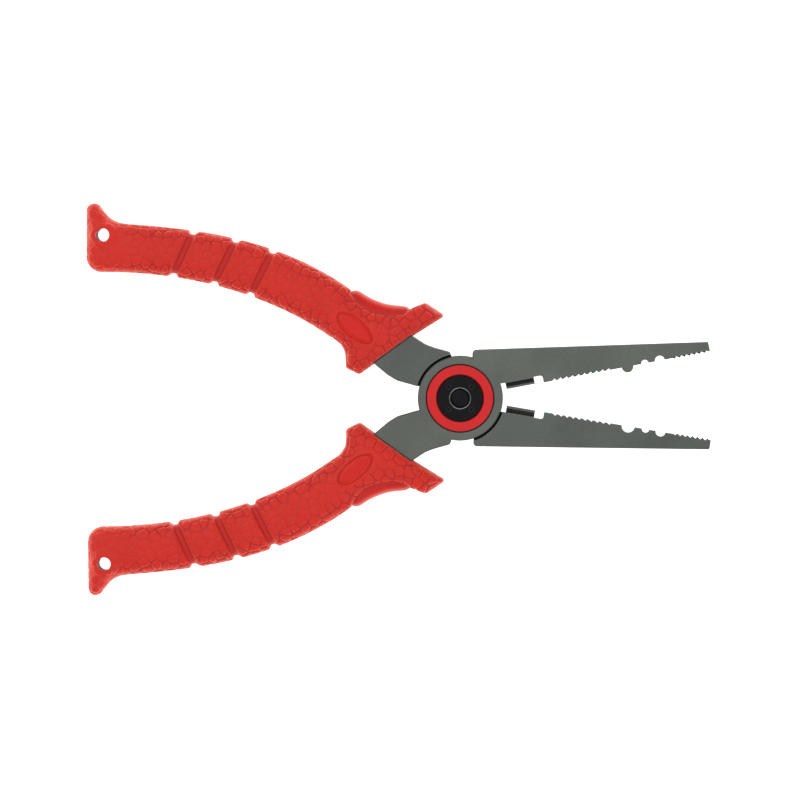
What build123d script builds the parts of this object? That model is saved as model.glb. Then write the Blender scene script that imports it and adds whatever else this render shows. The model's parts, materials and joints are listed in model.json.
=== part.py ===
"""Spring-opened fishing pliers with long serrated jaws, screwed-in side cutters and overmoulded handles.

Millimetres. The origin is the pivot centre in the mid-plane, +X runs along the jaws to their tips, +Y to
the upper jaw and +Z out of the front face. Everything is built in the rest pose, held open by the return
spring.

Each lever is drawn as the front one, with its jaw above the X axis and its handle below. The back lever is
drawn the same way and turned half a turn about X. Handles are drawn above the X axis, where the back
lever has its own.
"""

import os
from math import cos, radians, sin

from build123d import *

# Forgings
FACE = 4.8  # half the thickness of hub, jaw root and tang neck
LAP = 0.15  # each hub stops this far from the mid-plane
HUB_R = 13.95
SHOULDER_R = 14.7  # jaw and tang stand clear of the other lever's hub at this radius
EDGE_CHAMFER = 0.35

# Jaws, drawn along their closing line, which passes through the pivot
UPPER_JAW_ANGLE = 10.7
LOWER_JAW_ANGLE = 9.5
JAW_LENGTH = 83.6
JAW_TIP_WIDTH = 3.05
JAW_HEEL = (6.95, 14.85)
HEEL_ROUND, TIP_ROUND = 1.2, 0.5
CLOSED_GAP = 0.03  # from each jaw's lands to the closing line
TAPER_START = 30.0  # from here the jaw thins evenly to its tip
TIP_HALF_THICKNESS = 3.0

# Gripping teeth: notches behind the crimper, meshing saw teeth at the nose
NOTCH_START, NOTCH_PITCH, NOTCH_COUNT = 31.8, 2.01, 10
NOTCH_DEPTH, NOTCH_RISE, NOTCH_FALL = 0.62, 1.05, 0.3
SAW_START, SAW_PITCH, SAW_COUNT = 71.8, 1.67, 7
SAW_HEIGHT, SAW_RISE = 0.36, 0.55

# Crimper: (distance along the jaw, radius)
CRIMP_BALL = (56.0, 1.9)
CRIMP_POCKET_R = 2.12
CRIMP_NOTCHES = ((61.8, 1.2), (66.8, 1.62))

# Side cutters, held in pockets that open to the back face
CUTTER_START, CUTTER_END = 15.5, 24.9
CUTTER_DEPTH = 4.8
CUTTER_BACK, CUTTER_FRONT = -4.3, -1.0
CUTTER_EDGE = 0.02  # the cutting edge stands this far from the closing line
CUTTER_BEVEL, CUTTER_BACK_OFF, CUTTER_LAND = 0.75, 0.3, 0.5
POCKET_PLAY = 0.05
RECESS_DEPTH = 2.15
RELIEF_END, RELIEF_DEPTH, RELIEF_ROUND = 28.0, 2.45, 0.9
ROOT_SLOT_DEPTH = 2.3
SCREW_PLACES = (17.9, 22.5)
SCREW_INSET = 3.1
SCREW_R, SCREW_HEAD_R, SCREW_TIP_Z = 0.95, 1.6, 2.2
SCREW_RIM, SCREW_DRIVE_R, SCREW_DRIVE_DEPTH = 0.25, 0.85, 0.7

# Pivot, front side; the back side mirrors it
BORE_R = 5.0
BUSH_PLAY = 0.05
SHANK_R = 4.0
SEAT_Z = 3.4  # floor of the counterbore
SEAT_R = 11.35
RING_R, RING_INNER_R, RING_TOP, RING_FLANGE = 10.92, 7.75, 5.2, 0.5
RING_CHAMFER = 0.3
FLANGE_HOLE_R = 5.2
DISC_SPRING_R, DISC_SPRING_TOP, DISC_SPRING_GAUGE = 7.2, 4.25, 0.25
NUT_R, NUT_TOP, NUT_BOSS_R, NUT_CHAMFER = 7.5, 5.35, 4.9, 0.35
THREAD_R = 3.1
MOUTH_WIDTH = 0.5  # the nut's countersink round the bolt's end
BOLT_END_SINK, BOLT_DOME = 0.2, 0.8
BOLT_KEY_R, BOLT_KEY_DEPTH = 2.3, 1.6
PIN_HOLES_R, PIN_HOLE_R, PIN_HOLE_DEPTH = 5.3, 0.7, 0.6
POCKET_INNER_R, POCKET_OUTER_R, POCKET_Z = 5.9, 9.4, 2.05
SPRING_R, SPRING_WIRE_R = 7.7, 0.45
SPRING_PITCH, SPRING_SWEEP = 0.98, 3 * 360 + 60  # whole turns and the 60 degrees between the leg slots
LEG_SLOT_ANGLE = -150
SPRING_LEG_END, LEG_SLOT_WIDTH, LEG_SLOT_END = 10.6, 1.3, 10.9
THRUST_R, THRUST_INNER_R, THRUST_PLAY = 13.2, 11.2, 0.01

# Handles
LOWER_HANDLE_LEAN = 0.45  # the lower handle stands this much further out than the upper one
GRIP_HALF = 7.3
GRIP_ROUND = 2.0
SKIN = 1.8  # overmould thickness at the outline
CORE_HALF = 5.3
TANG_HALF = 2.4
TANG_WIDTH = 7.6
KEY_HOLE_PLACES, KEY_HOLE_R = (0.35, 0.6, 0.9), 1.6  # places as fractions of the tail's length
GROOVE_DEPTH, GROOVE_WIDTH, WAIST_ROUND = 1.1, 2.1, 1.2
GROOVES = (((-87.8, 54.9), (-94.4, 40.5)), ((-74.0, 51.9), (-80.8, 37.9)), ((-61.8, 48.3), (-68.8, 34.3)))
BODY_TOP = [
    (-36.3, 35.8), (-44, 40.8), (-52, 44.95), (-60, 48.33), (-72, 52.05), (-85, 54.73), (-100, 56.6),
    (-110, 57.4),
]
BODY_BOTTOM = [
    (-117.6, 41.4), (-105, 40.95), (-91, 39.2), (-78, 36.3), (-66, 32.3), (-52, 25.88), (-43.9, 20.85),
]
SADDLE_ROUND = 1.5
BADGE_PLACE, BADGE_TILT = (-34.65, 23.1), -39.9
BADGE_SIZE, BADGE_MOAT, BADGE_TOP = (13.9, 5.6), 0.35, 7.2
HOLE_PLACE, HOLE_R = (-117.6, 53.7), 2.25
EYELET_R, EYELET_HALF = 2.6, 6.7

HALF_TURN = Rot(180, 0, 0)
TO_LOWER_HANDLE = Rot(0, 0, LOWER_HANDLE_LEAN) * HALF_TURN


def slab(face, low, high):
    """The flat face extruded from height low to height high."""
    return extrude(Pos(0, 0, low) * face, high - low, dir=(0, 0, 1))


def disc(radius, low, high, x=0.0, y=0.0):
    return slab(Pos(x, y) * Circle(radius), low, high)


def ring(outer, inner, low, high):
    return slab(Circle(outer) - Circle(inner), low, high)


def outline(*curves):
    return make_face([edge for curve in curves for edge in curve.edges()])


def rounded(face, corners):
    """The face with the vertex nearest each (x, y, radius) rounded."""
    for x, y, radius in corners:
        nearest = min(face.vertices(), key=lambda v: (v.X - x) ** 2 + (v.Y - y) ** 2)
        face = fillet(nearest, radius)
    return face


# ---------------------------------------------------------------- jaws


def jaw_blank():
    """The jaw's outline along its closing line, before any teeth."""
    body = Polygon((0, 0), (JAW_LENGTH, 0), (JAW_LENGTH, JAW_TIP_WIDTH), JAW_HEEL, (6.2, 11.0), align=None)
    return rounded(body, [(*JAW_HEEL, HEEL_ROUND), (JAW_LENGTH, JAW_TIP_WIDTH, TIP_ROUND)])


def jaw_cuts(upper):
    """Everything cut from the jaw's working edge: notches, saw gullets, crimper and the cutter's space."""
    end = JAW_LENGTH + 1
    cuts = Polygon((10, -1), (end, -1), (end, CLOSED_GAP), (10, CLOSED_GAP), align=None)
    for n in range(NOTCH_COUNT):
        valley = NOTCH_START + n * NOTCH_PITCH
        flanks = (valley - NOTCH_RISE, 0), (valley, NOTCH_DEPTH), (valley + NOTCH_FALL, 0)
        cuts += Polygon(*flanks, (valley, -1), align=None)
    cuts += saw_teeth(upper, 1)
    for along, radius in CRIMP_NOTCHES:
        cuts += Pos(along, 0) * Circle(radius)
    if not upper:
        cuts += Pos(CRIMP_BALL[0], 0) * Circle(CRIMP_POCKET_R)
    return cuts + cutter_space() - Circle(HUB_R)


def saw_teeth(late, side):
    """Triangles along the nose: into the jaw when side is 1, out of it when -1; late ones sit in between."""
    fall = SAW_PITCH - SAW_RISE
    before, after = (SAW_RISE, fall) if late else (fall, SAW_RISE)
    teeth = Sketch()
    for n in range(SAW_COUNT):
        peak = SAW_START + n * SAW_PITCH + (SAW_RISE if late else 0)
        tooth = (peak - before / 2, CLOSED_GAP), (peak, CLOSED_GAP + side * SAW_HEIGHT)
        teeth += Polygon(*tooth, (peak + after / 2, CLOSED_GAP), align=None)
    return teeth


def jaw_bumps(upper):
    """What stands past the closing line: the saw teeth and, on the upper jaw, the crimper's ball."""
    bumps = saw_teeth(not upper, -1)
    return bumps + Pos(CRIMP_BALL[0], 0) * Circle(CRIMP_BALL[1]) if upper else bumps


def cutter_space():
    """The cuts that make room for a cutter: the root slot, the recess and the relief notch."""
    start, end = CUTTER_START - 0.1, CUTTER_END + POCKET_PLAY
    slot = (HUB_R - 1, -1), (HUB_R - 1, ROOT_SLOT_DEPTH), (start, ROOT_SLOT_DEPTH)
    recess = (start, RECESS_DEPTH), (end, RECESS_DEPTH)
    relief = (end, RELIEF_DEPTH), (RELIEF_END, RELIEF_DEPTH), (RELIEF_END, -1)
    return rounded(Polygon(*slot, *recess, *relief, align=None), [(RELIEF_END, RELIEF_DEPTH, RELIEF_ROUND)])


def jaw_taper():
    """A wedge, flat at the root, that thins the jaw towards its tip."""
    side = Polygon(
        (-60, -FACE), (TAPER_START, -FACE), (JAW_LENGTH + 2, -TIP_HALF_THICKNESS),
        (JAW_LENGTH + 2, TIP_HALF_THICKNESS), (TAPER_START, FACE), (-60, FACE), align=None,
    )
    return extrude(Plane.XZ * side, 60, both=True)


# ---------------------------------------------------------------- levers


def tang_neck():
    """The steel neck between hub and handle, with its handle above the X axis."""
    inner = (-9, 2.6), (-20.8, 5.8), (-23.9, 7.7), (-28.7, 11.7), (-31.6, 15.6)
    outer = (-18.7, 24.4), (-15.8, 20.35), (-11.4, 17.55), (-8.6, 16.55), (-3.6, 15.2), (-2.7, 13.0)
    neck = Polygon(*inner, *outer, (-4, 8), align=None)
    bends = [(-20.8, 5.8, 6), (-23.9, 7.7, 6), (-11.4, 17.55, 8), (-8.6, 16.55, 8), (-3.6, 15.2, 0.5)]
    return rounded(neck, bends)


def tang_tail():
    """The thin tail of the tang that runs inside the handle, with holes that key the core to it."""
    centre = Spline((-24, 17.0), (-40, 27.2), (-60, 38.6), (-80, 45.6), (-107, 49.6))
    tail = slab(trace(centre, TANG_WIDTH), -TANG_HALF, TANG_HALF)
    for along in KEY_HOLE_PLACES:
        hole = centre @ along
        tail -= disc(KEY_HOLE_R, -TANG_HALF - 1, TANG_HALF + 1, hole.X, hole.Y)
    return tail


def hub_cuts():
    """What is bored out of a front hub: pin bore, ring seat, spring pocket and the spring leg's slot."""
    cuts = disc(BORE_R, -FACE, FACE) + disc(SEAT_R, SEAT_Z, FACE + 1)
    cuts += ring(POCKET_OUTER_R, POCKET_INNER_R, 0, POCKET_Z)
    leg_slot = Pos((SPRING_R + LEG_SLOT_END) / 2, 0) * Rectangle(LEG_SLOT_END - SPRING_R, LEG_SLOT_WIDTH)
    return cuts + Rot(0, 0, LEG_SLOT_ANGLE) * slab(leg_slot, 0, POCKET_Z)


def eased(solid, low_side):
    """The solid with the rim of its flat face, at the top or bottom, chamfered."""
    sign = -1 if low_side else 1
    faces = [f for f in solid.faces() if f.normal_at().Z * sign > 0.99 and f.center().Z * sign > LAP + 1]
    edges = [e for f in faces for e in f.edges()]
    rim = [e for e in edges if sum(e.is_same(other) for other in edges) == 1]
    return chamfer(rim, EDGE_CHAMFER)


def lever(upper):
    """One forging as a front lever: jaw above the X axis, hub in the front half, tang below the X axis."""
    turn = Rot(0, 0, UPPER_JAW_ANGLE if upper else LOWER_JAW_ANGLE)
    lean = Rot(0, 0, LOWER_HANDLE_LEAN if upper else 0)
    neck = lean * mirror(tang_neck(), about=Plane.XZ)
    front = slab(turn * jaw_blank(), LAP, FACE) + slab(neck, LAP, FACE) + disc(HUB_R, LAP, FACE)
    front &= turn * jaw_taper()
    back = slab(turn * jaw_blank(), -FACE, LAP) + slab(neck, -FACE, LAP)
    back = (back & turn * jaw_taper()) - disc(SHOULDER_R, -FACE - 1, LAP + 1)
    blank = eased(front.solid(), False) + [eased(solid, True) for solid in back.solids()]
    blank -= turn * slab(jaw_cuts(upper), -FACE - 1, FACE + 1)
    blank += turn * (slab(jaw_bumps(upper), -FACE, FACE) & jaw_taper())
    return blank + lean * mirror(tang_tail(), about=Plane.XZ) - hub_cuts()


def cutter_place(upper):
    """Where things drawn along the closing line of a jaw go, as a function of the drawn solid."""
    if upper:
        return lambda solid: Rot(0, 0, UPPER_JAW_ANGLE) * solid
    return lambda solid: mirror(Rot(0, 0, LOWER_JAW_ANGLE) * solid, about=Plane.XZ)


def cutter_pocket():
    pocket = Polygon(
        (CUTTER_START - POCKET_PLAY, -1), (CUTTER_END + POCKET_PLAY, -1),
        (CUTTER_END + POCKET_PLAY, CUTTER_DEPTH + POCKET_PLAY),
        (CUTTER_START - POCKET_PLAY, CUTTER_DEPTH + POCKET_PLAY), align=None,
    )
    holes = [disc(SCREW_R, CUTTER_FRONT - 1, SCREW_TIP_Z, along, SCREW_INSET) for along in SCREW_PLACES]
    return slab(pocket, -FACE - 1, CUTTER_FRONT) + holes


def cutter():
    """A carbide cutting block, bevelled from its front face to an edge near its back face."""
    back = (CUTTER_DEPTH, CUTTER_BACK), (CUTTER_BACK_OFF, CUTTER_BACK)
    bevel = (CUTTER_EDGE, CUTTER_BACK + CUTTER_LAND), (CUTTER_BEVEL, CUTTER_FRONT)
    side = Polygon(*back, *bevel, (CUTTER_DEPTH, CUTTER_FRONT), align=None)
    block = Pos(CUTTER_START, 0, 0) * extrude(Plane.YZ * side, CUTTER_END - CUTTER_START, dir=(1, 0, 0))
    for along in SCREW_PLACES:
        block -= Pos(along, SCREW_INSET) * screw_body()
    return block


def screw_body():
    """A countersunk screw without its drive, head to the back."""
    cone_z = CUTTER_BACK + SCREW_RIM
    cone = Cone(SCREW_HEAD_R, SCREW_R, SCREW_HEAD_R - SCREW_R, align=(Align.CENTER, Align.CENTER, Align.MIN))
    head = disc(SCREW_HEAD_R, CUTTER_BACK, cone_z) + Pos(0, 0, cone_z) * cone
    return head + disc(SCREW_R, cone_z, SCREW_TIP_Z)


def cutter_screws():
    drive = slab(RegularPolygon(SCREW_DRIVE_R, 6), CUTTER_BACK - 1, CUTTER_BACK + SCREW_DRIVE_DEPTH)
    return [Pos(along, SCREW_INSET) * (screw_body() - drive) for along in SCREW_PLACES]


# ---------------------------------------------------------------- pivot


def bushing():
    """A sleeve bearing for one hub, on the front side."""
    return ring(BORE_R, SHANK_R + BUSH_PLAY, LAP, SEAT_Z)


def dished_ring():
    """The coloured ring: a dished washer whose flange is clamped under the nut or the bolt head."""
    rim = ring(RING_R, RING_INNER_R, SEAT_Z, RING_TOP)
    rim = chamfer(rim.faces().sort_by(Axis.Z)[-1].edges(), RING_CHAMFER)
    return rim + ring(RING_R - 1, FLANGE_HOLE_R, SEAT_Z, SEAT_Z + RING_FLANGE)


def disc_spring():
    """A shallow cone washer between the ring's flange and the nut."""
    low, high, gauge = SEAT_Z + RING_FLANGE, DISC_SPRING_TOP, DISC_SPRING_GAUGE
    section = Polygon(
        (FLANGE_HOLE_R, high - gauge), (DISC_SPRING_R, low), (DISC_SPRING_R, low + 0.8 * gauge),
        (FLANGE_HOLE_R, high), align=None,
    )
    return revolve(Plane.XZ * section, Axis.Z)


def pin_holes(top):
    hole = disc(PIN_HOLE_R, top - PIN_HOLE_DEPTH, top + 1, PIN_HOLES_R)
    return [Rot(0, 0, 45 + 90 * n) * hole for n in range(4)]


def pivot_nut():
    """The black face nut, turned by a four-pin spanner, with a countersunk mouth round the bolt's end."""
    body = disc(NUT_R, DISC_SPRING_TOP, NUT_TOP)
    body = chamfer(body.faces().sort_by(Axis.Z)[-1].edges(), NUT_CHAMFER)
    body += disc(NUT_BOSS_R, SEAT_Z + 0.1, DISC_SPRING_TOP)
    body -= disc(THREAD_R, 0, NUT_TOP + 1)
    below = Align.CENTER, Align.CENTER, Align.MAX
    mouth = Cone(THREAD_R, THREAD_R + MOUTH_WIDTH, NUT_CHAMFER, align=below)
    return body - Pos(0, 0, NUT_TOP) * mouth - pin_holes(NUT_TOP)


def pivot_bolt():
    """The bolt: a disc head on the back, a plain shank through both hubs and a domed end inside the nut."""
    head_seat = -SEAT_Z - RING_FLANGE
    head = disc(NUT_R, -NUT_TOP, head_seat)
    head = chamfer(head.faces().sort_by(Axis.Z)[0].edges(), NUT_CHAMFER)
    head -= slab(RegularPolygon(BOLT_KEY_R, 6), -NUT_TOP - 1, -NUT_TOP + BOLT_KEY_DEPTH)
    shank = disc(SHANK_R, head_seat, SEAT_Z)
    end = disc(THREAD_R, SEAT_Z, NUT_TOP - BOLT_END_SINK)
    dome = fillet(end.faces().sort_by(Axis.Z)[-1].edges(), BOLT_DOME)
    return head + shank + dome


def thrust_washer():
    return ring(THRUST_R, THRUST_INNER_R, THRUST_PLAY - LAP, LAP - THRUST_PLAY)


def return_spring():
    """The torsion spring in the hubs' pockets, one leg in each hub's slot."""
    half = SPRING_SWEEP / 360 * SPRING_PITCH / 2
    coil_path = Pos(0, 0, -half) * Helix(SPRING_PITCH, 2 * half, SPRING_R)
    wire = Plane(coil_path @ 0, z_dir=coil_path % 0) * Circle(SPRING_WIRE_R)
    coil = sweep(wire, path=coil_path, is_frenet=True)
    straight = Rot(0, 90, 0) * disc(SPRING_WIRE_R, 0, SPRING_LEG_END - SPRING_R)
    leg = Pos(SPRING_R, 0) * (straight + Sphere(SPRING_WIRE_R))
    low_leg = Pos(0, 0, -half) * leg
    high_leg = Pos(0, 0, half) * Rot(0, 0, SPRING_SWEEP) * leg
    return Rot(0, 0, LEG_SLOT_ANGLE - SPRING_SWEEP) * (coil + low_leg + high_leg)


# ---------------------------------------------------------------- handles, above the X axis


def moved(points, dx, dy):
    return [(x + dx, y + dy) for x, y in points]


def grip_face():
    """The outline of the soft overmould: hooked butt, curved body, two guard horns and the finger hollow."""
    horns = (-37.8, 13), (-37.8, 9.9), (-33.2, 7.7), (-16, 20.2), (-4.9, 27.1), (-11.6, 31.5), (-16.6, 29.4)
    face = outline(
        Spline(*BODY_BOTTOM),
        Spline(BODY_BOTTOM[-1], horns[0], tangents=((0.84, -0.54), (0, -1))),
        Polyline(*horns),
        Spline(horns[-1], (-20.5, 27.5), (-25.5, 27.6), (-30.5, 29.1), (-34.2, 32.2), BODY_TOP[0]),
        Spline(*BODY_TOP),
        Spline(BODY_TOP[-1], (-114.8, 58.85), (-118.5, 62.8), tangents=((-1, 0.09), (-0.62, 0.78))),
        ThreePointArc((-118.5, 62.8), (-120.9, 64.15), (-123.1, 61.8)),
        Polyline((-123.1, 61.8), (-123.2, 41.45), BODY_BOTTOM[0]),
    )
    butt, upper_horn = [(-123.2, 41.45, 5.0)], [(-4.9, 27.1, 0.8), (-11.6, 31.5, 1.3)]
    corners = butt + [(-37.8, 9.9, 1.2), (-33.2, 7.7, 1.1)] + upper_horn
    return rounded(face, corners)


def core_face():
    """The outline of the hard core inside the overmould."""
    bottom, top = moved(BODY_BOTTOM, 0.6, SKIN), moved(BODY_TOP, -0.6, -SKIN)
    nose = (-36, 15), (-36, 11.3), (-33.3, 10.3), (-17, 22.5), (-9, 27.4), (-12, 29.3), (-16.6, 27.5)
    return outline(
        Spline(*bottom),
        Polyline(bottom[-1], *nose),
        Spline(nose[-1], (-20.5, 25.6), (-25.5, 25.6), (-31.3, 27.2), (-35.6, 30.6), top[0]),
        Spline(*top),
        Polyline(top[-1], (-116, 57.3), (-121.4, 60.1), (-121.4, 45.2), (-119.8, 43.4), bottom[0]),
    )


def waist():
    """The body of the handle inside its grooves."""
    bottom, top = moved(BODY_BOTTOM, 0.3, GROOVE_DEPTH), moved(BODY_TOP, -0.3, -GROOVE_DEPTH)
    face = outline(Spline(*bottom), Line(bottom[-1], top[0]), Spline(*top), Line(top[-1], bottom[0]))
    body = slab(face, GROOVE_DEPTH - GRIP_HALF, GRIP_HALF - GROOVE_DEPTH)
    long_edges = [e for f in body.faces().filter_by(Axis.Z) for e in f.edges().filter_by(GeomType.BSPLINE)]
    return fillet(long_edges, WAIST_ROUND)


def saddle_face():
    """The smooth index-finger rest that shows in the hollow behind the upper guard horn."""
    start, end = (-36.2, 35.0), (-16.5, 29.0)
    lip = (-34.2, 35.45), (-31, 33.75), (-28, 32.25), (-24, 30.95), (-20, 30.45), (-17.8, 30.1)
    rim = Spline(start, *lip, end)
    return outline(rim, Polyline(end, (-15.5, 27.2), (-22, 24.5), (-30, 25.5), (-38.5, 32.5), start))


def badge_face(grow):
    """The long oval of the smooth blank pad, grown all round."""
    length, width = BADGE_SIZE
    return Pos(*BADGE_PLACE) * Rot(0, 0, BADGE_TILT) * Ellipse(length / 2 + grow, width / 2 + grow)


def groove_bands(half_height):
    """Three slanting bands across the handle."""
    bands = []
    for (x1, y1), (x2, y2) in GROOVES:
        line = Line((2 * x1 - x2, 2 * y1 - y2), (2 * x2 - x1, 2 * y2 - y1))
        bands.append(slab(trace(line, GROOVE_WIDTH), -half_height, half_height))
    return bands


def grip_body():
    """The overmould's outer form without its grooves."""
    body = slab(grip_face(), -GRIP_HALF, GRIP_HALF)
    return fillet([e for f in body.faces().filter_by(Axis.Z) for e in f.edges()], GRIP_ROUND)


def tang_solid():
    return slab(tang_neck(), -FACE, FACE) + tang_tail()


def core_solid():
    """The hard inner core, before the tang and the eyelet are taken out of it."""
    body = slab(core_face(), -CORE_HALF, CORE_HALF)
    saddle = slab(saddle_face(), -CORE_HALF, CORE_HALF)
    saddle = fillet(saddle.edges().filter_by(GeomType.BSPLINE), SADDLE_ROUND)
    return body + saddle + slab(badge_face(0), -BADGE_TOP, BADGE_TOP)


def eyelet_body():
    return disc(EYELET_R, -EYELET_HALF, EYELET_HALF, *HOLE_PLACE)


def handle_core():
    return core_solid() - tang_solid() - eyelet_body()


def handle_grip():
    """The soft overmould, moulded over the core, with grooves, the badge window and the tang's mouth."""
    body, inside = grip_body(), waist()
    for band in groove_bands(GRIP_HALF + 1):
        body -= band - inside
    body -= slab(badge_face(BADGE_MOAT), -GRIP_HALF - 1, GRIP_HALF + 1)
    body -= disc(HOLE_R, -GRIP_HALF - 1, GRIP_HALF + 1, *HOLE_PLACE)
    return body - core_solid() - tang_solid() - eyelet_body()


def lanyard_eyelet():
    """The tube that lines the lanyard hole, held behind the overmould's lips at both ends."""
    return eyelet_body() - disc(HOLE_R, -GRIP_HALF, GRIP_HALF, *HOLE_PLACE)


# ---------------------------------------------------------------- assembly


def build():
    """Every sub-part by node name, in the rest pose."""
    on_upper, on_lower = cutter_place(True), cutter_place(False)
    core, grip, eyelet = handle_core(), handle_grip(), lanyard_eyelet()
    upper_screws = Compound(children=[on_upper(s) for s in cutter_screws()])
    lower_screws = Compound(children=[on_lower(s) for s in cutter_screws()])
    return {
        "upper_jaw_lever": lever(True) - on_upper(cutter_pocket()),
        "lower_jaw_lever": HALF_TURN * lever(False) - on_lower(cutter_pocket()),
        "upper_cutter": on_upper(cutter()),
        "lower_cutter": on_lower(cutter()),
        "upper_cutter_screws": upper_screws,
        "lower_cutter_screws": lower_screws,
        "upper_handle_core": core,
        "lower_handle_core": TO_LOWER_HANDLE * core,
        "upper_handle_grip": grip,
        "lower_handle_grip": TO_LOWER_HANDLE * grip,
        "upper_lanyard_eyelet": eyelet,
        "lower_lanyard_eyelet": TO_LOWER_HANDLE * eyelet,
        "front_bushing": bushing(),
        "back_bushing": HALF_TURN * bushing(),
        "front_pivot_ring": dished_ring(),
        "back_pivot_ring": HALF_TURN * dished_ring(),
        "disc_spring": disc_spring(),
        "pivot_nut": pivot_nut(),
        "pivot_bolt": pivot_bolt(),
        "thrust_washer": thrust_washer(),
        "return_spring": return_spring(),
    }


os.makedirs("parts", exist_ok=True)
for node, shape in build().items():
    export_step(shape, f"parts/{node}.step")
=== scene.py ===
import bpy, bmesh, json, math
import numpy as np
from itertools import product
from mathutils import Matrix, Vector


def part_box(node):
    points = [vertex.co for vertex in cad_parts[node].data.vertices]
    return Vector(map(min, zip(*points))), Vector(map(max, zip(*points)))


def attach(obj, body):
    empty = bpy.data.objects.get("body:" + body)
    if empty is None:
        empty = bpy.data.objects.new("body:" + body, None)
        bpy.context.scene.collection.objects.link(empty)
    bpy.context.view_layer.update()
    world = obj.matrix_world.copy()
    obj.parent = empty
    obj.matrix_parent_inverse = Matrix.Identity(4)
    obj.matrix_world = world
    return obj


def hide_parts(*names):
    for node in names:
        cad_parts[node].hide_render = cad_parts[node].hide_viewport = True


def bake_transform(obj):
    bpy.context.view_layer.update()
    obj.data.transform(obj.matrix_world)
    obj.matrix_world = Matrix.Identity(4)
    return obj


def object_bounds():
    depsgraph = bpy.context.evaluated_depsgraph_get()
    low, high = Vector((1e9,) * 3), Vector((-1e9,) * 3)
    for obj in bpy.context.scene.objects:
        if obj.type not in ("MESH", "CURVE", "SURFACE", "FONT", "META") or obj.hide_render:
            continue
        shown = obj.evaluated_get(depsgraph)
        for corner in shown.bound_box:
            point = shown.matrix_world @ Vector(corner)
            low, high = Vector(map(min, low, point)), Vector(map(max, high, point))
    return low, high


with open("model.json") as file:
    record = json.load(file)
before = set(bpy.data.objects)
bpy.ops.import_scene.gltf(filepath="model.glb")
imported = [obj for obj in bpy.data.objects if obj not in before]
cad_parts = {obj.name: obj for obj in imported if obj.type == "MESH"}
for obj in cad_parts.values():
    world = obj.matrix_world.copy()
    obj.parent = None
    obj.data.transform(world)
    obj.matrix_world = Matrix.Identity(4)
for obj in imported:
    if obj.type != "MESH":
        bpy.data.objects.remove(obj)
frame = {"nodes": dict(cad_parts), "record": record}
cad_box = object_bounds()
MM = 0.001
LOWER_HANDLE_LEAN = 0.45  # degrees
GUARD_FRONT = (-33.2, 7.7), (-4.9, 27.1)  # the upper cover's front edge, in millimetres
NECK_FRONT = (-33.2, 7.7), (-16, 20.2)  # the stretch of it that the steel passes through
ENTRY_SHADE_DEPTH = 0.3  # painted shade darkens the steel over this depth, in millimetres, behind that stretch

# ---------------------------------------------------------------- materials

# Radii round the pivot, in millimetres
GAP_INNER, GAP_OUTER = 13.96, 14.78  # the clearance between one lever's hub and the other's shoulder, painted black as shade
GAP_HALF = 4.6  # the arc's floor and walls lie this near the mid-plane
LIP_INNER, LIP_OUTER = 3.28, 3.62  # the nut's countersink, which carries a painted highlight


def side_of(line):
    """Unit normal to the left of a line, and the line's distance from the origin along it."""
    (ax, ay), (bx, by) = line
    normal = Vector((ay - by, bx - ax, 0)).normalized()
    return normal, normal.dot(Vector((ax, ay, 0)))


def to_lower_handle():
    """Rotation that takes the upper handle to the lower one: half a turn about X, then its lean about Z."""
    return Matrix.Rotation(math.radians(LOWER_HANDLE_LEAN), 3, "Z") @ Matrix.Rotation(math.pi, 3, "X")


def linear(r, g, b):
    """sRGB 0-255 to linear RGBA."""
    return tuple(c / 3294.6 if c <= 10 else ((c / 255 + 0.055) / 1.055) ** 2.4 for c in (r, g, b)) + (1,)


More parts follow.
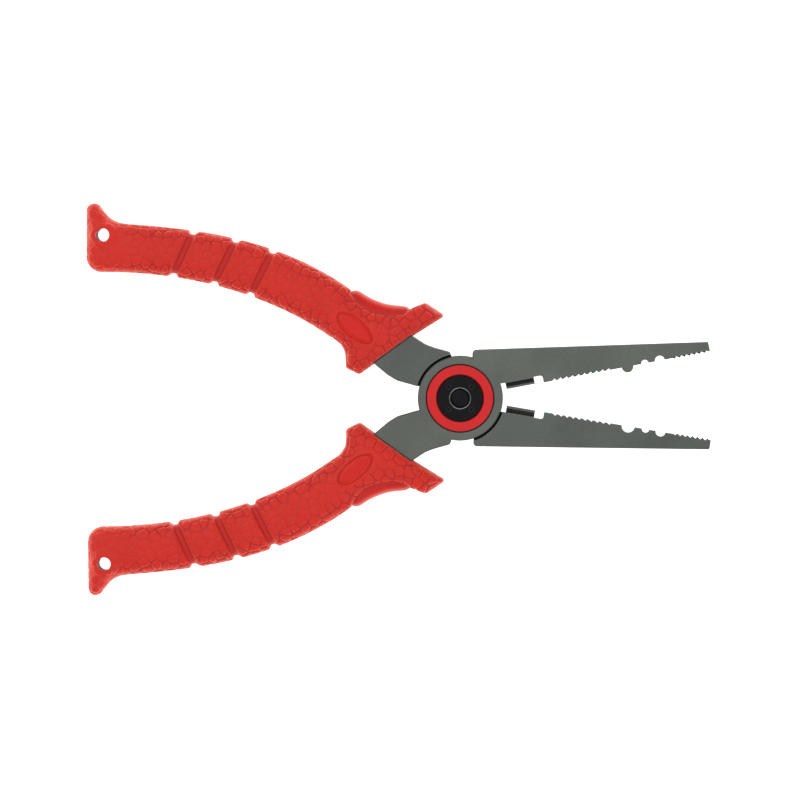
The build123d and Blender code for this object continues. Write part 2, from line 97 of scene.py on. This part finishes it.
class Graph:
    """A material's node tree, built by short calls. Inputs are plain values or other nodes' outputs."""

    def __init__(self, name):
        self.material = bpy.data.materials.new(name)
        self.material.use_nodes = True
        self.tree = self.material.node_tree
        self.shader = self.tree.nodes["Principled BSDF"]

    def put(self, node, inputs):
        for key, value in inputs.items():
            if isinstance(value, bpy.types.NodeSocket):
                self.tree.links.new(value, node.inputs[key])
            else:
                node.inputs[key].default_value = value
        return node

    def add(self, kind, inputs=None, **settings):
        node = self.tree.nodes.new(kind)
        for key, value in settings.items():
            setattr(node, key, value)
        return self.put(node, inputs or {})

    def math(self, operation, a, b=0.0):
        return self.add("ShaderNodeMath", {0: a, 1: b}, operation=operation).outputs[0]

    def ramp(self, value, low, high, start=0.0, end=1.0):
        """value from low..high mapped smoothly to start..end."""
        keys = {"Value": value, "From Min": low, "From Max": high, "To Min": start, "To Max": end}
        return self.add("ShaderNodeMapRange", keys, interpolation_type="SMOOTHSTEP").outputs[0]

    def mix(self, factor, a, b):
        return self.add("ShaderNodeMix", {0: factor, 6: a, 7: b}, data_type="RGBA").outputs[2]

    def where(self):
        return self.add("ShaderNodeTexCoord").outputs["Object"]

    def noise(self, size_mm, detail=2.0, stretch=None):
        """Noise with features about size_mm across, 0..1; stretch scales the coordinates first."""
        place = self.where()
        if stretch:
            place = self.add("ShaderNodeMapping", {"Vector": place, "Scale": stretch}).outputs[0]
        keys = {"Vector": place, "Scale": 1 / (size_mm * MM), "Detail": detail}
        return self.add("ShaderNodeTexNoise", keys).outputs["Fac"]

    def radius(self):
        """Distance from the pivot axis in millimetres."""
        flat = self.add("ShaderNodeVectorMath", {0: self.where(), 1: (1000, 1000, 0)}, operation="MULTIPLY")
        return self.add("ShaderNodeVectorMath", {0: flat.outputs[0]}, operation="LENGTH").outputs["Value"]

    def ring_mask(self, inner, outer, soft):
        """1 between two radii round the pivot, falling to 0 over soft millimetres inside them."""
        rise = self.ramp(self.radius(), inner, inner + soft)
        return self.math("MULTIPLY", rise, self.ramp(self.radius(), outer - soft, outer, 1, 0))

    def turned(self, pitch_mm):
        """Concentric turning marks about the pivot, -1..1."""
        return self.math("SINE", self.math("MULTIPLY", self.radius(), 2 * math.pi / pitch_mm))

    def bump(self, height, depth_mm, before=None):
        keys = {"Height": height, "Distance": depth_mm * MM, "Strength": 1.0}
        if before:
            keys["Normal"] = before
        return self.add("ShaderNodeBump", keys).outputs[0]

    def attribute(self, name):
        return self.add("ShaderNodeAttribute", attribute_name=name).outputs["Fac"]

    def facing(self):
        """0 where the surface faces the eye, 1 at its rim."""
        return self.add("ShaderNodeLayerWeight", {"Blend": 0.5}).outputs["Facing"]

    def edges(self, width_mm=0.35):
        """1 along sharp edges, 0 on open faces."""
        bevel = self.add("ShaderNodeBevel", {"Radius": width_mm * MM}, samples=6).outputs[0]
        flat = self.add("ShaderNodeNewGeometry").outputs["Normal"]
        match = self.add("ShaderNodeVectorMath", {0: bevel, 1: flat}, operation="DOT_PRODUCT")
        return self.ramp(match.outputs["Value"], 0.8, 0.99, 1, 0)

    def shaded(self, tone, reach_mm=1.2, dark=(0.25, 0.25, 0.25, 1)):
        """The tone with painted shade in crevices, where other surfaces stand closer than reach."""
        open_sky = self.add("ShaderNodeAmbientOcclusion", {"Distance": reach_mm * MM}, samples=4)
        deep = self.add("ShaderNodeMix", {0: 1.0, 6: tone, 7: dark}, data_type="RGBA", blend_type="MULTIPLY")
        return self.mix(self.ramp(open_sky.outputs["AO"], 0.4, 0.98), deep.outputs[2], tone)

    def done(self, **inputs):
        self.put(self.shader, {key.replace("_", " "): value for key, value in inputs.items()})
        return self.material


def soft_red():
    """Moulded elastomer, with painted shade in the furrows between the cells and in the grooves, and a
    painted highlight on the cells' rims and where it turns away.
    """
    g = Graph("soft_red")
    relief, groove = g.attribute("relief"), g.attribute("groove")
    tone = g.mix(g.ramp(g.noise(9, 3), 0.35, 0.7, 0, 0.5), linear(187, 26, 10), linear(178, 20, 8))
    # painted highlight on the cells' rims, stronger where the cover turns away from the eye
    rim = g.math("MULTIPLY", g.ramp(relief, 0.55, 0.82), g.ramp(relief, 0.84, 0.99, 1, 0))
    rim = g.math("MULTIPLY", rim, g.ramp(g.facing(), 0.02, 0.3, 0.04, 0.42))
    tone = g.mix(rim, tone, linear(226, 84, 62))
    # painted shade in the furrows between the cells
    tone = g.mix(g.ramp(relief, 0.1, 0.8), linear(160, 16, 8), tone)
    # painted shade in the grooves, darkest on their sloping sides
    tone = g.mix(g.ramp(groove, 0.2, 0.75), tone, linear(173, 14, 7))
    groove_wall_shade = g.math("MULTIPLY", g.ramp(groove, 0.5, 0.75), g.ramp(groove, 0.9, 1.0, 1, 0))
    tone = g.mix(g.math("MULTIPLY", groove_wall_shade, 0.85), tone, linear(142, 8, 5))
    # painted highlight where the cover turns away from the eye
    tone = g.mix(g.ramp(g.facing(), 0.12, 0.9, 0, 0.55), tone, linear(236, 112, 90))
    grain = g.bump(g.noise(0.16, 2), 0.012)
    normal = g.bump(g.noise(0.9, 2), 0.05, grain)
    rough = g.ramp(g.noise(1.5, 3), 0.3, 0.7, 0.5, 0.62)
    return g.done(
        Base_Color=tone, Roughness=rough, Normal=normal, Specular_IOR_Level=0.28, Sheen_Weight=0.04,
        Sheen_Roughness=0.5, Subsurface_Weight=0.08, Subsurface_Radius=(0.0012, 0.0003, 0.0002),
        Subsurface_Scale=1.0,
    )


def hard_red():
    """The core's harder plastic: smooth, with painted shade next to the soft cover and a painted highlight
    where it turns away.
    """
    g = Graph("hard_red")
    tone = g.mix(g.ramp(g.noise(5, 3), 0.3, 0.7, 0, 0.5), linear(184, 15, 4), linear(189, 19, 6))
    # painted shade on the core next to the soft cover
    tone = g.mix(g.attribute("cover_shade"), tone, linear(166, 20, 11))
    # painted highlight where the core turns away from the eye
    tone = g.mix(g.ramp(g.facing(), 0.12, 0.9, 0, 0.65), tone, linear(236, 112, 90))
    normal = g.bump(g.noise(0.25, 2), 0.01)
    return g.done(
        Base_Color=tone, Roughness=g.ramp(g.noise(2, 2), 0.3, 0.7, 0.36, 0.46), Normal=normal,
        Specular_IOR_Level=0.24, Subsurface_Weight=0.05, Subsurface_Radius=(0.001, 0.0003, 0.0002),
        Subsurface_Scale=1.0,
    )


def forged_steel(name, dark, light, place):
    """Bead-blasted steel, coated grey-green, rubbed lighter along its edges and painted black as shade in
    the clearance round the pivot.

    Painted shade darkens it where it enters its handle's cover. place takes the upper handle to that handle.
    """
    g = Graph(name)
    tone = g.mix(g.ramp(g.noise(18, 3), 0.35, 0.68), linear(*dark), linear(*light))
    tone = g.mix(g.ramp(g.noise(0.3, 3), 0.4, 0.75, 0, 0.22), tone, linear(62, 65, 61))
    worn = g.math("MULTIPLY", g.edges(), g.ramp(g.noise(2.2, 4), 0.42, 0.66, 0.05, 0.5))
    tone = g.mix(worn, tone, linear(128, 131, 125))
    # painted shade: black in the clearance round the pivot, near the mid-plane
    gap_shade = g.ring_mask(GAP_INNER, GAP_OUTER, 0.06)
    height = g.add("ShaderNodeSeparateXYZ", {0: g.where()}).outputs["Z"]
    inside = g.ramp(g.math("ABSOLUTE", height), (GAP_HALF - 0.4) * MM, GAP_HALF * MM, 1, 0)
    tone = g.mix(g.math("MULTIPLY", gap_shade, inside), tone, linear(4, 4, 4))
    # painted shade where the steel enters its handle's cover
    inward, front = side_of(NECK_FRONT)
    depth = g.add("ShaderNodeVectorMath", {0: g.where(), 1: place @ inward}, operation="DOT_PRODUCT")
    entry_shade = g.ramp(depth.outputs["Value"], front * MM, (front + ENTRY_SHADE_DEPTH) * MM, 0, 0.85)
    tone = g.mix(entry_shade, tone, linear(24, 20, 19))
    blast = g.bump(g.noise(0.18, 3), 0.014)
    normal = g.bump(g.noise(4, 2), 0.02, blast)
    return g.done(
        Base_Color=g.shaded(tone), Metallic=0.55, Roughness=g.ramp(g.noise(0.6, 3), 0.3, 0.7, 0.5, 0.64),
        Normal=normal,
    )


def carbide():
    """Ground cutter: dark, with fine grinding lines and painted shade along its edges and in crevices."""
    g = Graph("carbide")
    lines = g.noise(0.12, 2, (1, 0.06, 1))
    tone = g.mix(g.ramp(lines, 0.35, 0.65), linear(26, 27, 25), linear(37, 38, 35))
    # painted shade along the cutter's edges
    tone = g.mix(g.math("MULTIPLY", g.edges(0.3), 0.9), tone, linear(8, 8, 8))
    return g.done(
        Base_Color=g.shaded(tone), Metallic=0.1, Roughness=0.5, Normal=g.bump(lines, 0.006),
        Specular_IOR_Level=0.2,
    )


def anodised_red():
    """Turned and anodised ring: saturated red with fine concentric marks and a painted highlight along its
    edges.
    """
    g = Graph("anodised_red")
    marks = g.turned(0.22)
    tone = g.mix(g.ramp(g.noise(3, 3), 0.3, 0.7, 0, 0.5), linear(188, 17, 21), linear(178, 15, 19))
    tone = g.mix(g.ramp(marks, -1, 1, 0, 0.1), tone, linear(140, 12, 14))
    # painted highlight along the ring's edges
    tone = g.mix(g.math("MULTIPLY", g.edges(0.3), 0.45), tone, linear(240, 120, 115))
    normal = g.bump(g.noise(0.2, 2), 0.008, g.bump(marks, 0.003))
    return g.done(
        Base_Color=g.shaded(tone, 0.5), Metallic=0.2, Roughness=0.45, Normal=normal, Specular_IOR_Level=0.3
    )


def black_oxide(name, lip_glint):
    """Turned black part with a painted highlight along its edges; the nut's countersink gets a broken
    painted highlight.
    """
    g = Graph(name)
    marks = g.turned(0.3)
    tone = g.mix(g.ramp(g.noise(2.5, 3), 0.3, 0.7), linear(5, 4, 7), linear(8, 7, 10))
    # painted highlight along the edges and round the pin holes
    tone = g.mix(g.math("MULTIPLY", g.edges(0.25), 0.5), tone, linear(92, 88, 92))
    if lip_glint:
        # painted highlight on the countersink, broken into glints
        bright = g.ramp(g.noise(2.5, 2), 0.35, 0.6, 0.35, 1)
        lip = g.math("MULTIPLY", g.ring_mask(LIP_INNER, LIP_OUTER, 0.1), bright)
        tone = g.mix(lip, tone, linear(132, 132, 134))
    normal = g.bump(g.noise(0.15, 2), 0.006, g.bump(marks, 0.002))
    return g.done(
        Base_Color=tone, Roughness=g.ramp(marks, -1, 1, 0.3, 0.36), Normal=normal, Specular_IOR_Level=0.1
    )


def plain_steel(name, color, rough, grain_mm, stretch=None):
    """Uncoated metal with drawn or turned marks."""
    g = Graph(name)
    lines = g.noise(grain_mm, 3, stretch)
    dark = tuple(c * 0.7 for c in color[:3]) + (1,)
    tone = g.mix(g.ramp(lines, 0.3, 0.7), dark, color)
    return g.done(
        Base_Color=tone, Metallic=0.95, Roughness=g.ramp(lines, 0.3, 0.7, rough, rough + 0.1),
        Normal=g.bump(lines, 0.005),
    )


LOOKS = {
    "soft_red": soft_red(),
    "hard_red": hard_red(),
    "forged_steel": forged_steel("forged_steel", (82, 86, 81), (89, 93, 87), to_lower_handle()),
    # a darker copy of the same coated steel, as painted shade on the lower jaw's lever
    "forged_steel_shaded": forged_steel("forged_steel_shaded", (73, 77, 74), (81, 85, 82), Matrix.Identity(3)),
    "carbide": carbide(),
    "anodised_red": anodised_red(),
    "black_oxide": black_oxide("black_oxide", False),
    "black_nut": black_oxide("black_nut", True),
    "screw_steel": plain_steel("screw_steel", linear(120, 120, 118), 0.34, 0.2),
    "eyelet_steel": plain_steel("eyelet_steel", linear(178, 178, 174), 0.32, 0.15, (1, 1, 0.05)),
    "spring_steel": plain_steel("spring_steel", linear(150, 150, 152), 0.3, 0.1),
    "bronze": plain_steel("bronze", linear(176, 132, 84), 0.4, 0.25),
}

OWN_LOOKS = {"pivot_nut": "black_nut", "lower_jaw_lever": "forged_steel_shaded"}
for part in frame["record"]["subparts"]:
    node = frame["nodes"][part["node"]]
    look = LOOKS[OWN_LOOKS.get(part["node"], part["material_slot"])]
    node.data.materials.clear()
    node.data.materials.append(look)

# ---------------------------------------------------------------- fields and surfaces, in millimetres


def section(node_name, height):
    """Closed loops, longest first, where a CAD node crosses the plane z = height."""
    cut = bmesh.new()
    cut.from_mesh(frame["nodes"][node_name].data)
    bmesh.ops.remove_doubles(cut, verts=cut.verts, dist=1e-6)
    bmesh.ops.bisect_plane(
        cut, geom=cut.verts[:] + cut.edges[:] + cut.faces[:], plane_co=(0, 0, height * MM),
        plane_no=(0, 0, 1), clear_outer=True, clear_inner=True,
    )
    bmesh.ops.remove_doubles(cut, verts=cut.verts, dist=2e-6)
    loops, left = [], dict.fromkeys(cut.verts)
    while left:
        chain = [left.popitem()[0]]
        while True:
            ahead = [e.other_vert(chain[-1]) for e in chain[-1].link_edges]
            ahead = [v for v in ahead if v in left]
            if not ahead:
                break
            del left[ahead[0]]
            chain.append(ahead[0])
        loops.append(np.array([(v.co.x, v.co.y) for v in chain]) / MM)
    cut.free()
    return sorted(loops, key=lambda loop: -np.abs(np.diff(loop, axis=0)).sum() if len(loop) > 1 else 0)


def inside_distance(x, y, loop):
    """Signed distance from points to a closed loop, positive inside."""
    nearest = np.full(x.shape, 1e9)
    within = np.zeros(x.shape, bool)
    for (ax, ay), (bx, by) in zip(loop, np.roll(loop, -1, axis=0)):
        ex, ey = bx - ax, by - ay
        t = np.clip(((x - ax) * ex + (y - ay) * ey) / max(ex * ex + ey * ey, 1e-12), 0, 1)
        nearest = np.minimum(nearest, (x - ax - t * ex) ** 2 + (y - ay - t * ey) ** 2)
        if ay != by:
            within ^= ((ay > y) != (by > y)) & (x < ex * (y - ay) / ey + ax)
    return np.where(within, 1, -1) * np.sqrt(nearest)


def smoothstep(value, low, high):
    t = np.clip((value - low) / (high - low), 0, 1)
    return t * t * (3 - 2 * t)


def rounded_slab(distance, z, half, radius):
    """Field, negative inside, of an outline extruded to +-half with its edges rounded."""
    across, along = radius - distance, np.abs(z) - (half - radius)
    outer = np.hypot(np.maximum(across, 0), np.maximum(along, 0))
    return np.minimum(np.maximum(across, along), 0) + outer - radius


def surface(field, low, step):
    """Surface net of a sampled field: vertices and quads around its zero level."""
    inside = field < 0
    size = np.array(field.shape) - 1
    corners = product((0, 1), repeat=3)
    filled = sum(inside[a:size[0] + a, b:size[1] + b, c:size[2] + c].astype(np.int8) for a, b, c in corners)
    cells = np.argwhere((filled > 0) & (filled < 8))
    number = np.full(tuple(size), -1)
    number[tuple(cells.T)] = np.arange(len(cells))
    total, count = np.zeros((len(cells), 3)), np.zeros((len(cells), 1))
    unit = np.eye(3, dtype=int)
    for axis in range(3):
        one, two = unit[(axis + 1) % 3], unit[(axis + 2) % 3]
        for a, b in product((0, 1), repeat=2):
            start = cells + a * one + b * two
            here, there = field[tuple(start.T)], field[tuple((start + unit[axis]).T)]
            crossed = (here < 0) != (there < 0)
            t = np.where(crossed, here / np.where(crossed, here - there, 1), 0)[:, None]
            total += np.where(crossed[:, None], start + t * unit[axis], 0)
            count += crossed[:, None]
    quads = []
    for axis in range(3):
        one, two = (axis + 1) % 3, (axis + 2) % 3
        change = np.diff(inside, axis=axis)
        spots = np.argwhere(change)
        place = spots[:, (one, two)]
        spots = spots[(place > 0).all(axis=1) & (place < size[[one, two]]).all(axis=1)]
        around = ((0, 0), (1, 0), (1, 1), (0, 1))
        corners = [number[tuple((spots - a * unit[one] - b * unit[two]).T)] for a, b in around]
        quad = np.stack(corners, axis=1)
        flip = ~inside[tuple(spots.T)]
        quad[flip] = quad[flip][:, ::-1]
        quads.append(quad)
    return low + step * total / count, np.concatenate(quads)


def neighbours_mean(values, quads):
    """Average of each vertex's neighbours round its quads."""
    total, count = np.zeros_like(values), np.zeros(len(values))
    for a, b in ((0, 1), (1, 2), (2, 3), (3, 0)):
        for i, j in ((quads[:, a], quads[:, b]), (quads[:, b], quads[:, a])):
            for k in range(values.shape[1]):
                total[:, k] += np.bincount(i, values[j, k], len(values))
            count += np.bincount(i, minlength=len(values))
    return total / count[:, None]


def smoothed(points, quads, rounds):
    for _ in range(rounds):
        points = points + 0.5 * (neighbours_mean(points, quads) - points)
        points = points - 0.52 * (neighbours_mean(points, quads) - points)
    return points


def normals(points, quads):
    a, b, c, d = (points[quads[:, k]] for k in range(4))
    face = np.cross(c - a, d - b)
    total = np.zeros_like(points)
    for k in range(4):
        for axis in range(3):
            total[:, axis] += np.bincount(quads[:, k], face[:, axis], len(points))
    return total / np.maximum(np.linalg.norm(total, axis=1), 1e-12)[:, None]


def piece(name, points, quads, look, attributes=None):
    mesh = bpy.data.meshes.new(name)
    mesh.vertices.add(len(points))
    mesh.vertices.foreach_set("co", (points * MM).astype(np.float32).ravel())
    mesh.loops.add(quads.size)
    mesh.loops.foreach_set("vertex_index", quads.astype(np.int32).ravel())
    mesh.polygons.add(len(quads))
    mesh.polygons.foreach_set("loop_start", np.arange(0, quads.size, 4, dtype=np.int32))
    mesh.polygons.foreach_set("use_smooth", np.ones(len(quads), bool))
    mesh.update(calc_edges=True)
    mesh.validate()
    for key, values in (attributes or {}).items():
        layer = mesh.attributes.new(key, "FLOAT", "POINT")
        layer.data.foreach_set("value", values.astype(np.float32))
    mesh.materials.append(LOOKS[look])
    obj = bpy.data.objects.new(name, mesh)
    bpy.context.scene.collection.objects.link(obj)
    return obj


def lower_handle(points):
    """The upper handle's points moved to the lower one."""
    return points @ np.array(to_lower_handle()).T


# ---------------------------------------------------------------- handles

LANYARD = next(m for m in frame["record"]["mounts"] if m["name"] == "upper_lanyard_hole")
HOLE = LANYARD["pos_m"][0] / MM, LANYARD["pos_m"][1] / MM
HOLE_R, EYELET_R = LANYARD["dims"]["r_mm"], 2.62
GRIP_HALF, GRIP_ROUND = LANYARD["dims"]["length_mm"] / 2, 3.6  # the hole runs through the cover
HOLLOW, HOLLOW_ROUND = (-25, 34), 1.7  # the finger hollow, where the cover's edge is sharper
HOLLOW_FADE = 6.5, 12  # distances from its middle over which that wears off
EDGE_CROWN, BUTT_CROWN = 0.75, 0.5  # how far the faces fall towards the outline and the butt
CROWN_REACH, BUTT_FALL = 7.2, (-100, -121)  # how far in from the outline, and between which x
REST_HALF, REST_ROUND = 5.6, 3.9  # the core with its finger rest
PAD_HALF, PAD_ROUND, PAD_MOAT, PAD_FLOOR = 7.25, 0.75, 0.3, 6.5
STEP, CORE_STEP = 0.34, 0.36  # sampling of the cover and the core
GROOVES = (((-87.8, 54.9), (-94.4, 40.5)), ((-74.0, 51.9), (-80.8, 37.9)), ((-61.8, 48.3), (-68.8, 34.3)))
GROOVE_DEPTH, GROOVE_HALF = 1.25, 1.9
CELL, CELL_DEPTH, FURROW = 3.3, 0.34, 1.05
CELL_SEED, SIZE_SEED = 11, 5
BUTT_CALM = -118, -104  # the cells grow shallower from the second x to the first
COVER_OUTLINE = section("upper_handle_grip", 5.6)[0]
CORE_OUTLINE = section("upper_handle_core", 3.5)[0]
PAD_OUTLINE = section("upper_handle_core", 6.5)[0]


def groove_depth(x, y):
    """How far the three bands across the handle are sunk, 0..1."""
    depth = np.zeros(np.shape(x))
    for (ax, ay), (bx, by) in GROOVES:
        length = math.hypot(bx - ax, by - ay)
        off = np.abs((x - ax) * (by - ay) - (y - ay) * (bx - ax)) / length
        depth = np.maximum(depth, 1 - smoothstep(off, 0.3 * GROOVE_HALF, GROOVE_HALF))
    return depth


def grid(low, high, step):
    """Sample places along X, Y and Z between two corners."""
    return [np.arange(a, b + step, step) for a, b in zip(low, high)]


def handle_box(node):
    """A node's corners in millimetres, with 2 mm to spare all round."""
    low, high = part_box(node)
    return np.array(low) / MM - 2, np.array(high) / MM + 2


def without_grooves(loop):
    """The outline with its groove notches bridged."""
    return loop[groove_depth(loop[:, 0], loop[:, 1]) < 0.02]


def grip_surface():
    """The soft cover: a rounded, crowned body with sunk bands, pockets for the ovals and a lanyard hole."""
    low, high = handle_box("upper_handle_grip")
    xs, ys, zs = grid(low, high, STEP)
    x, y = np.meshgrid(xs, ys, indexing="ij")
    outline = without_grooves(COVER_OUTLINE)
    distance = inside_distance(x, y, outline)
    oval = inside_distance(x, y, PAD_OUTLINE)
    from_hollow = np.hypot((x - HOLLOW[0]) / 1.5, y - HOLLOW[1])
    radius = GRIP_ROUND - (GRIP_ROUND - HOLLOW_ROUND) * (1 - smoothstep(from_hollow, *HOLLOW_FADE))
    crown = EDGE_CROWN * (1 - smoothstep(distance, 0, CROWN_REACH)) + BUTT_CROWN * smoothstep(x, *BUTT_FALL)
    hole = np.hypot(x - HOLE[0], y - HOLE[1]) - HOLE_R
    crown *= 0.25 + 0.75 * smoothstep(hole, 0.8, 3.5)
    groove = GROOVE_DEPTH * groove_depth(x, y)
    field = np.empty((len(xs), len(ys), len(zs)), np.float32)
    for k, z in enumerate(zs):
        body = rounded_slab(distance, z, GRIP_HALF - crown, radius) + groove
        pocket = np.maximum(-(oval + PAD_MOAT), PAD_FLOOR - abs(z))
        field[:, :, k] = np.maximum(np.maximum(body, -pocket), -hole)
    points, quads = surface(field, low, STEP)
    return smoothed(points, quads, 2), quads, outline


def spread(points, spacing, seed):
    """Seed points about spacing apart over the surface, closer in some patches, then evened out once."""
    random = np.random.default_rng(seed)
    order = random.permutation(len(points))
    waves = np.sin(points @ np.array((0.61, 0.35, 0.2))) + np.sin(points @ np.array((-0.29, 0.55, 0.4)))
    apart = spacing * (0.83 + 0.16 * waves)
    taken, kept = {}, []
    for index in order:
        place = points[index]
        key = tuple((place // (1.2 * spacing)).astype(int))
        near = [k for d in product((-1, 0, 1), repeat=3) for k in taken.get(tuple(np.add(key, d)), ())]
        if all(((points[k] - place) ** 2).sum() > apart[index] ** 2 for k in near):
            taken.setdefault(key, []).append(index)
            kept.append(index)
    seeds = points[kept]
    owner = closest(points, seeds)[0]
    count = np.maximum(np.bincount(owner, minlength=len(seeds)), 1)
    return np.stack([np.bincount(owner, points[:, k], len(seeds)) / count for k in range(3)], axis=1)


def closest(points, seeds):
    """Index of each point's nearest seed, and the distances to its nearest two."""
    owner, first, second = (np.empty(len(points), t) for t in (int, float, float))
    for start in range(0, len(points), 4000):
        part = slice(start, start + 4000)
        squares = ((points[part, None] - seeds[None]) ** 2).sum(axis=2)
        nearest = np.argpartition(squares, 1, axis=1)[:, :2]
        pair = np.take_along_axis(squares, nearest, axis=1)
        swap = pair[:, 0] > pair[:, 1]
        nearest[swap], pair[swap] = nearest[swap][:, ::-1], pair[swap][:, ::-1]
        owner[part], first[part], second[part] = nearest[:, 0], np.sqrt(pair[:, 0]), np.sqrt(pair[:, 1])
    return owner, first, second


def pebbled(points, quads, outline):
    """The cover with its cells raised, how raised each point is and how deep in a groove."""
    x, y = points[:, 0], points[:, 1]
    oval = inside_distance(x, y, PAD_OUTLINE)
    normal = normals(points, quads)
    seeds = spread(points, CELL, CELL_SEED)
    owner, first, second = closest(points, seeds)
    furrow = 1 - smoothstep(second - first, 0.0, FURROW)
    groove = groove_depth(x, y)
    plain = 1 - smoothstep(groove, 0.0, 0.35)
    plain *= smoothstep(-oval, 0.5, 1.6)
    plain *= smoothstep(np.hypot(x - HOLE[0], y - HOLE[1]), HOLE_R + 0.4, HOLE_R + 2.5)
    plain *= 0.45 + 0.55 * smoothstep(x, *BUTT_CALM)
    inward, front = side_of(GUARD_FRONT)
    behind = x * inward.x + y * inward.y - front
    plain *= 0.2 + 0.8 * smoothstep(behind, 0.5, 2.2)
    flat = np.abs(normal[:, 2]) * smoothstep(inside_distance(x, y, outline), 2.0, 6.0)
    strength = plain * (1 - 0.45 * flat)
    size = np.random.default_rng(SIZE_SEED).uniform(0.75, 1.0, len(seeds))[owner]
    drop = CELL_DEPTH * furrow * strength + 0.06 * (1 - size) * strength
    relief = 1 - furrow * strength
    return points - normal * drop[:, None], relief, groove


def core_surface(outline):
    """The hard core with its finger rest and two oval pads, and how near it is to the cover's outline, which
    sets its painted shade.
    """
    low, high = handle_box("upper_handle_core")
    xs, ys, zs = grid(low, high, CORE_STEP)
    x, y = np.meshgrid(xs, ys, indexing="ij")
    body = inside_distance(x, y, CORE_OUTLINE)
    oval = inside_distance(x, y, PAD_OUTLINE)
    eyelet = np.hypot(x - HOLE[0], y - HOLE[1]) - EYELET_R
    field = np.empty((len(xs), len(ys), len(zs)), np.float32)
    for k, z in enumerate(zs):
        rest = rounded_slab(body, z, REST_HALF, REST_ROUND)
        pad = rounded_slab(oval, z, PAD_HALF, PAD_ROUND)
        field[:, :, k] = np.maximum(np.minimum(rest, pad), -eyelet)
    points, quads = surface(field, low, CORE_STEP)
    points = smoothed(points, quads, 3)
    outside = -inside_distance(points[:, 0], points[:, 1], outline)
    on_pad = np.abs(points[:, 2]) > PAD_FLOOR - 0.1
    return points, quads, 1 - smoothstep(outside, 0.3, 2.8) - on_pad


grip_points, grip_quads, grip_outline = grip_surface()
grip_points, relief, groove = pebbled(grip_points, grip_quads, grip_outline)
core_points, core_quads, cover_shade = core_surface(grip_outline)
for side, body, turn in (("upper", "back_lever", lambda p: p), ("lower", "front_lever", lower_handle)):
    depths = {"relief": relief, "groove": groove}
    skin = piece(f"{side}_grip_cover", turn(grip_points), grip_quads, "soft_red", depths)
    inner = piece(f"{side}_finger_rest", turn(core_points), core_quads, "hard_red", {"cover_shade": cover_shade})
    for obj, node, slot in ((skin, "grip", "soft_red"), (inner, "core", "hard_red")):
        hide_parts(f"{side}_handle_{node}")
        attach(obj, body)

# ---------------------------------------------------------------- return spring

old_spring = frame["nodes"]["return_spring"]
spring = bpy.data.objects.new("return_spring_wire", old_spring.data.copy())
bpy.context.scene.collection.objects.link(spring)
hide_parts("return_spring")
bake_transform(spring)

# ---------------------------------------------------------------- floor, light and camera


def floor():
    """A wide pale sheet under the tool, bright as a light table and clear when seen from below."""
    bottom, half = cad_box[0][2], 6.0
    mesh = bpy.data.meshes.new("floor")
    corners = [(-half, -half, bottom), (half, -half, bottom), (half, half, bottom), (-half, half, bottom)]
    mesh.from_pydata(corners, [], [(0, 1, 2, 3)])
    g = Graph("floor")
    above = g.math("SUBTRACT", 1.0, g.add("ShaderNodeNewGeometry").outputs["Backfacing"])
    g.done(
        Base_Color=(0.7, 0.7, 0.7, 1), Roughness=0.9, Specular_IOR_Level=0.1, Emission_Color=(1, 1, 1, 1),
        Emission_Strength=0.97, Alpha=above,
    )
    mesh.materials.append(g.material)
    obj = bpy.data.objects.new("floor", mesh)
    bpy.context.scene.collection.objects.link(obj)


def area_light(name, place, size, power):
    """A round light that shines at the pivot."""
    data = bpy.data.lights.new(name, "AREA")
    data.shape, data.size, data.energy = "DISK", size, power
    obj = bpy.data.objects.new(name, data)
    obj.location = place
    obj.rotation_euler = (-Vector(place)).to_track_quat("-Z", "Y").to_euler()
    bpy.context.scene.collection.objects.link(obj)


floor()
area_light("key", (-0.5, 0.5, 1.3), 1.4, 9)
area_light("fill", (0.7, -0.6, 1.0), 1.2, 5)

world = bpy.data.worlds.new("studio")
world.use_nodes = True
world.node_tree.nodes["Background"].inputs["Color"].default_value = (1, 1, 1, 1)
world.node_tree.nodes["Background"].inputs["Strength"].default_value = 0.8
bpy.context.scene.world = world
bpy.context.scene.view_settings.view_transform = "Standard"
bpy.context.scene.view_settings.look = "None"

AIM = Vector((-19.9 * MM, -0.66 * MM, 0))
DISTANCE, FRAME_WIDTH = 3.0, 0.2635
back = Vector((0.03, 0.02, 1)).normalized()
camera_data = bpy.data.cameras.new("camera")
camera_data.angle = 2 * math.atan(FRAME_WIDTH / 2 / DISTANCE)
camera_data.clip_start, camera_data.clip_end = 0.01, 20
camera = bpy.data.objects.new("camera", camera_data)
bpy.context.scene.collection.objects.link(camera)
right = Vector((0, 1, 0)).cross(back).normalized()
up = back.cross(right)
turn = Matrix((right, up, back)).transposed().to_4x4()
camera.matrix_world = Matrix.Translation(AIM + DISTANCE * back) @ turn
bpy.context.scene.camera = camera
